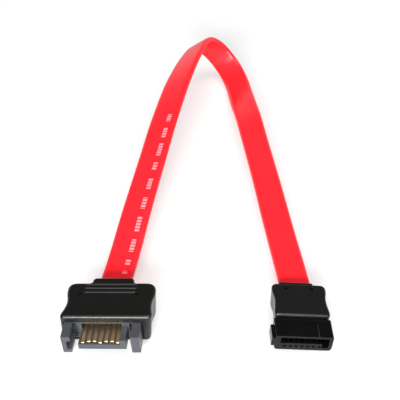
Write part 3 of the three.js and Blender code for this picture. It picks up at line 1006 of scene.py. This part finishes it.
grip_vinyl = plastic(
    "grip vinyl",
    dark=(0.0018, 0.0018, 0.0015),
    light=(0.0035, 0.0035, 0.003),
    rough=0.33,
    grain_scale=5000,
    grain_depth=0.0015,
    scuffs=0.5,
)
plug_nylon = plastic(
    "plug nylon",
    dark=(0.036, 0.038, 0.045),
    light=(0.055, 0.058, 0.067),
    rough=0.36,
    grain_scale=7000,
    grain_depth=0.002,
    scuffs=0.3,
)
receptacle_nylon = plastic(
    "receptacle nylon",
    dark=(0.002, 0.0019, 0.0017),
    light=(0.004, 0.0037, 0.0035),
    rough=0.25,
    grain_scale=7000,
    grain_depth=0.0015,
    scuffs=0.4,
    gloss=0.24,
)
white_insulation = plastic(
    "wire insulation",
    dark=(0.7, 0.68, 0.62),
    light=(0.8, 0.78, 0.72),
    rough=0.5,
    grain_scale=7000,
    grain_depth=0.002,
    scuffs=0.1,
)
gold = metal("gold flash", colour=(0.84, 0.56, 0.25), rough=0.42)
copper = metal("bare copper", colour=(0.72, 0.4, 0.24), rough=0.35)
print("materials:", len(bpy.data.materials))

# %% [markdown]
# ## The ribbon's print
#
# A line of small white print runs along the ribbon's printed face, nearer one edge: plain
# blocks in ten groups of unlike lengths. A picture wrapped round the ribbon could show it, but
# a pattern made of numbers stays sharp and needs no file. The attribute `lie` says where a
# point is along and across the ribbon, so the row follows the ribbon by itself.

# %% Print
PRINT_GROUPS = [
    (6.3, 7.6),
    (9.5, 11.2),
    (13.5, 17.3),
    (19.7, 24.5),
    (26.9, 30.6),
    (33.1, 36.8),
    (39.5, 42.3),
    (44.8, 49.1),
    (51.4, 54.7),
    (57.4, 60.1),
]
PRINT_REACH = 70.0
PRINT_ACROSS = 1.6
PRINT_HEIGHT = 1.15
PRINT_BLOCK = 0.95
PRINT_BLOCK_SHARE = 0.72
PRINTED_FACE = 0.5


def group_mask(tree, along):
    """White within a group of blocks: a ramp over the print's reach, without fades."""
    node = tree.nodes.new("ShaderNodeValToRGB")
    node.color_ramp.interpolation = "CONSTANT"
    stops = [(start / PRINT_REACH, 1.0) for start, _ in PRINT_GROUPS]
    stops += [(end / PRINT_REACH, 0.0) for _, end in PRINT_GROUPS]
    elements = node.color_ramp.elements
    elements[0].position, elements[0].color = 0, (0, 0, 0, 1)
    elements[1].position, elements[1].color = 1, (0, 0, 0, 1)
    for position, level in sorted(stops):
        elements.new(position).color = (level, level, level, 1)
    feed(tree, math_node(tree, "DIVIDE", along, PRINT_REACH), node.inputs["Fac"])
    return node.outputs["Color"]


def print_mask(tree, along, across, side):
    """White where a block of print lies: group, block within the group, row and face."""
    cell = math_node(tree, "FRACT", math_node(tree, "DIVIDE", along, PRINT_BLOCK))
    block = math_node(tree, "LESS_THAN", cell, PRINT_BLOCK_SHARE)
    row = math_node(tree, "COMPARE", across, PRINT_ACROSS, PRINT_HEIGHT / 2)
    face = math_node(tree, "GREATER_THAN", side, PRINTED_FACE)
    mask = math_node(tree, "MULTIPLY", group_mask(tree, along), block)
    mask = math_node(tree, "MULTIPLY", mask, row)
    return math_node(tree, "MULTIPLY", mask, face)


print("print:", len(PRINT_GROUPS), "groups of blocks")

# %% [markdown]
# ## The ribbon's vinyl
#
# The vinyl is a strong red with a soft sheen, and the wires under it raise faint ridges along
# the ribbon. They could be modelled, but they are only some thousandths of a millimetre high,
# so a sine across the ribbon goes into the bump.

# %% Ribbon vinyl
RIBBON_RED = (0.84, 0.011, 0.018, 1)
RIBBON_BRIGHT_RED = (0.88, 0.018, 0.028, 1)
RIBBON_SURFACE = {"Grain Scale": 4000, "Cloud Scale": 120}
RIBBON_ROUGHNESS = 0.34
RIBBON_GLOSS = 0.3
INK = (0.95, 0.56, 0.62, 1)
INK_STRENGTH = 0.4
RIDGE_PITCH = 0.98
RIDGE_SHARE = 0.5
RIBBON_BUMP_DEPTH = 0.006


def ribbon_vinyl():
    material, tree, shader = new_material("ribbon vinyl")
    lie = tree.nodes.new("ShaderNodeAttribute")
    lie.attribute_name = "lie"
    parts = tree.nodes.new("ShaderNodeSeparateXYZ")
    feed(tree, lie.outputs["Vector"], parts.inputs["Vector"])
    along, across, side = parts.outputs
    surface = add_moulding(tree, RIBBON_SURFACE)
    red = colour_between(tree, surface["Clouds"], RIBBON_RED, RIBBON_BRIGHT_RED)
    ink = math_node(tree, "MULTIPLY", print_mask(tree, along, across, side), INK_STRENGTH)
    feed(tree, colour_between(tree, ink, red, INK), shader.inputs["Base Color"])
    turns = math_node(tree, "MULTIPLY", across, 2 * math.pi / RIDGE_PITCH)
    ridges = math_node(tree, "MULTIPLY", math_node(tree, "SINE", turns), RIDGE_SHARE)
    add_bump(tree, shader, math_node(tree, "ADD", ridges, surface["Grain"]), RIBBON_BUMP_DEPTH)
    shader.inputs["Roughness"].default_value = RIBBON_ROUGHNESS
    shader.inputs["Specular IOR Level"].default_value = RIBBON_GLOSS
    return material


red_vinyl = ribbon_vinyl()
print("ribbon vinyl:", len(red_vinyl.node_tree.nodes), "nodes")

# %% [markdown]
# ## Give every piece its finish
#
# New pieces take one material each. The solids that stay, which are the spring contacts and
# the wires inside the grips, get theirs by name.

# %% Finishes
SOLID_FINISHES = {
    "receptacle_contact": gold,
    "drain_wire": copper,
    "signal_wire": white_insulation,
}


def finish(piece, material):
    piece.data.materials.clear()
    piece.data.materials.append(material)


finish(ribbon, red_vinyl)
finish(plug_grip, grip_vinyl)
finish(receptacle_grip, grip_vinyl)
finish(plug_body, plug_nylon)
finish(receptacle_body, receptacle_nylon)
for blade in blades:
    finish(blade, gold)
for word, material in SOLID_FINISHES.items():
    kept = [node for name, node in nodes.items() if word in name]
    for node in kept:
        finish(node, material)
    print(len(kept), "solids with", word, "in their names are", material.name)

# %% [markdown]
# ## The table
#
# The picture is a product shot on a light table: the white sheet glows a little, so it stays
# white next to near-black plastic, and the object still leaves a soft shadow on it.

# %% Table
TABLE_SIZE = 6
SHEET_WHITE = (0.45, 0.45, 0.45, 1)
SHEET_ROUGHNESS = 0.9
SHEET_GLOSS = 0.1
SHEET_GLOW = 0.46

bpy.ops.object.select_all(action="DESELECT")
bpy.ops.mesh.primitive_plane_add(size=TABLE_SIZE)
table = bpy.context.object
table.name = "table"
sheet, _, sheet_shader = new_material("white sheet")
sheet_shader.inputs["Base Color"].default_value = SHEET_WHITE
sheet_shader.inputs["Roughness"].default_value = SHEET_ROUGHNESS
sheet_shader.inputs["Specular IOR Level"].default_value = SHEET_GLOSS
sheet_shader.inputs["Emission Color"].default_value = (1, 1, 1, 1)
sheet_shader.inputs["Emission Strength"].default_value = SHEET_GLOW
finish(table, sheet)
print("table:", TABLE_SIZE, "m wide")

# %% [markdown]
# ## The lamps
#
# One wide lamp hangs above and draws the bright line along each rounded rim, and a smaller one
# in front lights the end faces. A point of light would give hard dots and shadows, so both are
# flat panels, as a photographer's softboxes are.

# %% Lamps


def softbox(name, place, target, width, height, power):
    """A flat lamp at a place in metres, turned to face its target."""
    data = bpy.data.lights.new(name, "AREA")
    data.shape = "RECTANGLE"
    data.size, data.size_y = width, height
    data.energy = power
    lamp = bpy.data.objects.new(name, data)
    bpy.context.collection.objects.link(lamp)
    lamp.location = place
    lamp.rotation_euler = (Vector(target) - Vector(place)).to_track_quat("-Z", "Y").to_euler()
    print("lamp:", name, power, "W")


softbox(
    "overhead",
    place=(0.1, -0.12, 0.85),
    target=(0, 0.03, 0),
    width=1.0,
    height=0.6,
    power=7.2,
)
softbox(
    "front",
    place=(-0.08, -0.5, 0.25),
    target=(0, 0, 0),
    width=0.4,
    height=0.12,
    power=7.4,
)

# %% [markdown]
# ## The room
#
# Glossy plastic shows what stands around it. The room is white only behind the table and low
# down, as a paper backdrop is, and dim above and at the sides, which keeps the black tops
# black. Two fades make this: one falls with the height, and one grows towards the back. Their
# product, on a faint floor, is the strength of the background.

# %% Room
ROOM_FLOOR = 0.015
DIM_HEIGHT, WHITE_HEIGHT = 0.56, 0.26
DIM_BACK, WHITE_BACK = 0.5, 0.8


def dim_room():
    room = bpy.data.worlds.new("studio")
    room.use_nodes = True
    tree = room.node_tree
    place = tree.nodes.new("ShaderNodeTexCoord")
    parts = tree.nodes.new("ShaderNodeSeparateXYZ")
    feed(tree, place.outputs["Generated"], parts.inputs["Vector"])
    low = fade(tree, parts.outputs["Z"], DIM_HEIGHT, WHITE_HEIGHT)
    behind = fade(tree, parts.outputs["Y"], DIM_BACK, WHITE_BACK)
    background = tree.nodes["Background"]
    glow = math_node(tree, "MULTIPLY_ADD", low, behind, ROOM_FLOOR)
    feed(tree, glow, background.inputs["Strength"])
    background.inputs["Color"].default_value = (1, 1, 1, 1)
    return room


bpy.context.scene.world = dim_room()
bpy.context.scene.view_settings.view_transform = "Standard"
print("room:", bpy.context.scene.world.name)
